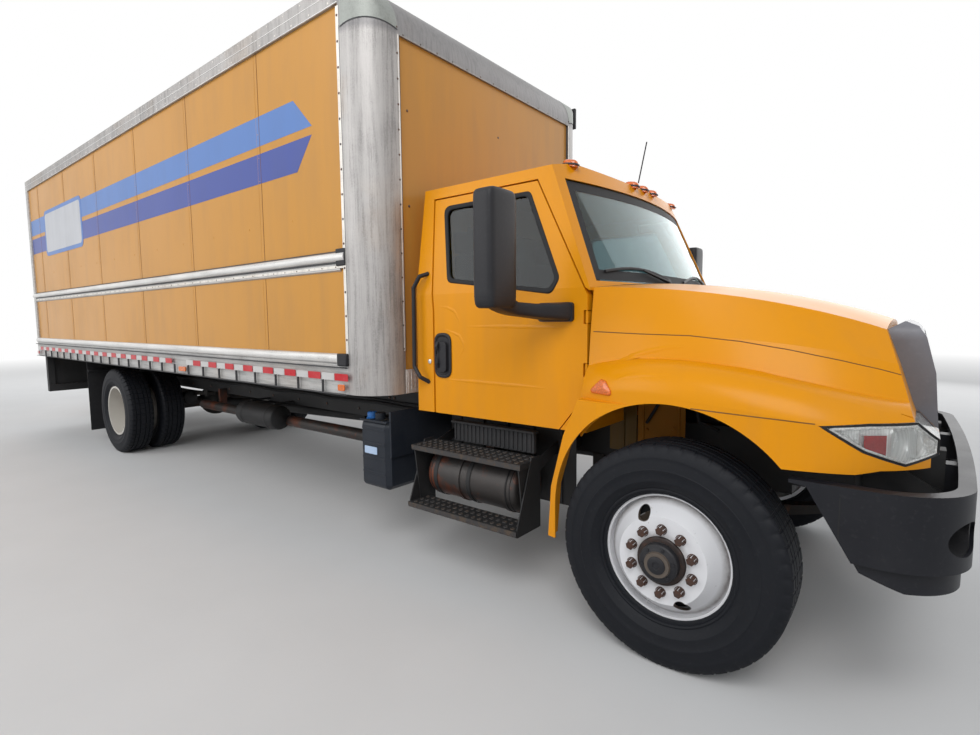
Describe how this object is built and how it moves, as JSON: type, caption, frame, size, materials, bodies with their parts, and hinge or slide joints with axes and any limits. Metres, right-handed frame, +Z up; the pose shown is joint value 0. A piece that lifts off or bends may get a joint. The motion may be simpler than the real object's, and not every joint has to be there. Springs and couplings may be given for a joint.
{
  "type": "box truck",
  "caption": "Two-axle box truck with a tilting hood, hinged doors, steered front wheels, twin rear wheels and a closed cargo body.",
  "frame": {"origin": "on the ground under the middle of the whole truck", "axes": "+X forward, +Y to the truck's left, +Z up"},
  "size_m": [10.775, 3.05, 3.677],
  "materials": {
    "cab_paint": "gloss amber-yellow paint",
    "box_paint": "gloss orange-yellow paint",
    "box_metal": "brushed aluminium, mottled",
    "chassis_paint": "black chassis paint",
    "bare_steel": "dull steel",
    "cast": "rough casting",
    "rim_paint": "white wheel paint",
    "tyre_rubber": "moulded rubber",
    "flap_rubber": "sheet rubber",
    "dark_plastic": "grained dark plastic",
    "grille_plastic": "satin grey plastic",
    "clear": "clear",
    "tinted": "tinted glass",
    "amber": "amber lens",
    "bright": "reflector",
    "wood_board": "floor boards",
    "cabin": "grey trim"
  },
  "bodies": {
    "chassis": {"frame": "chassis_paint", "front_axle": "cast", "rear_axle": "cast", "engine": "cast", "driveline": "cast", "exhaust": "bare_steel", "cab_steps": "chassis_paint", "fuel_tank": "bare_steel", "fluid_tank": "dark_plastic", "front_bumper": "dark_plastic", "cab_shell": "cab_paint", "cab_glass": "tinted", "cab_interior": "cabin", "cab_trim": "dark_plastic", "cowl": "dark_plastic", "marker_lamps": "amber", "box_floor": "wood_board", "box_walls": "box_paint", "box_roof": "box_metal", "box_frame": "box_metal", "box_rub_rails": "box_metal", "rear_frame": "box_metal", "rollup_door": "box_paint", "rear_bumper": "chassis_paint", "mud_flaps": "flap_rubber"},
    "hood": {"hood_shell": "cab_paint", "grille": "grille_plastic", "lamp_lenses": "clear", "headlamp_bowls": "bright"},
    "door_right": {"door_right": "cab_paint", "door_glass_right": "tinted", "door_fittings_right": "dark_plastic"},
    "door_left": {"door_left": "cab_paint", "door_glass_left": "tinted", "door_fittings_left": "dark_plastic"},
    "knuckle_right": {"knuckle_right": "cast"},
    "knuckle_left": {"knuckle_left": "cast"},
    "tie_rod": {"tie_rod": "bare_steel"},
    "front_wheel_right": {"front_tyre_right": "tyre_rubber", "front_rim_right": "rim_paint"},
    "front_wheel_left": {"front_tyre_left": "tyre_rubber", "front_rim_left": "rim_paint"},
    "rear_wheels_right": {"rear_tyres_right": "tyre_rubber", "rear_rims_right": "rim_paint"},
    "rear_wheels_left": {"rear_tyres_left": "tyre_rubber", "rear_rims_left": "rim_paint"}
  },
  "joints": [
    {"name": "steer_right", "type": "hinge", "parent": "chassis", "child": "knuckle_right", "pos_m": [4.3275, -0.876, 0.515], "axis": [0, 0, 1], "range_deg": [-38, 38]},
    {"name": "steer_left", "type": "hinge", "parent": "chassis", "child": "knuckle_left", "pos_m": [4.3275, 0.876, 0.515], "axis": [0, 0, 1], "range_deg": [-38, 38]},
    {"name": "tie_rod_swing", "type": "hinge", "parent": "knuckle_left", "child": "tie_rod", "pos_m": [4.1275, 0.876, 0.45], "axis": [0, 0, 1], "range_deg": [-38, 38]},
    {"name": "front_spin_right", "type": "hinge", "parent": "knuckle_right", "child": "front_wheel_right", "pos_m": [4.3275, -1.026, 0.515], "axis": [0, 1, 0], "continuous": true},
    {"name": "front_spin_left", "type": "hinge", "parent": "knuckle_left", "child": "front_wheel_left", "pos_m": [4.3275, 1.026, 0.515], "axis": [0, 1, 0], "continuous": true},
    {"name": "rear_spin_right", "type": "hinge", "parent": "chassis", "child": "rear_wheels_right", "pos_m": [-2.4725, -0.912, 0.515], "axis": [0, 1, 0], "continuous": true},
    {"name": "rear_spin_left", "type": "hinge", "parent": "chassis", "child": "rear_wheels_left", "pos_m": [-2.4725, 0.912, 0.515], "axis": [0, 1, 0], "continuous": true},
    {"name": "door_right_swing", "type": "hinge", "parent": "chassis", "child": "door_right", "pos_m": [3.8515, -1.008, 1.7], "axis": [0, 0, 1], "range_deg": [0, 65]},
    {"name": "door_left_swing", "type": "hinge", "parent": "chassis", "child": "door_left", "pos_m": [3.8515, 1.008, 1.7], "axis": [0, 0, -1], "range_deg": [0, 65]},
    {"name": "hood_tilt", "type": "hinge", "parent": "chassis", "child": "hood", "pos_m": [5.2625, 0, 0.8], "axis": [0, 1, 0], "range_deg": [0, 65]}
  ],
  "couplings": [
    {"joint": "steer_left", "follows": "steer_right", "ratio": 1},
    {"joint": "tie_rod_swing", "follows": "steer_right", "ratio": -1}
  ]
}
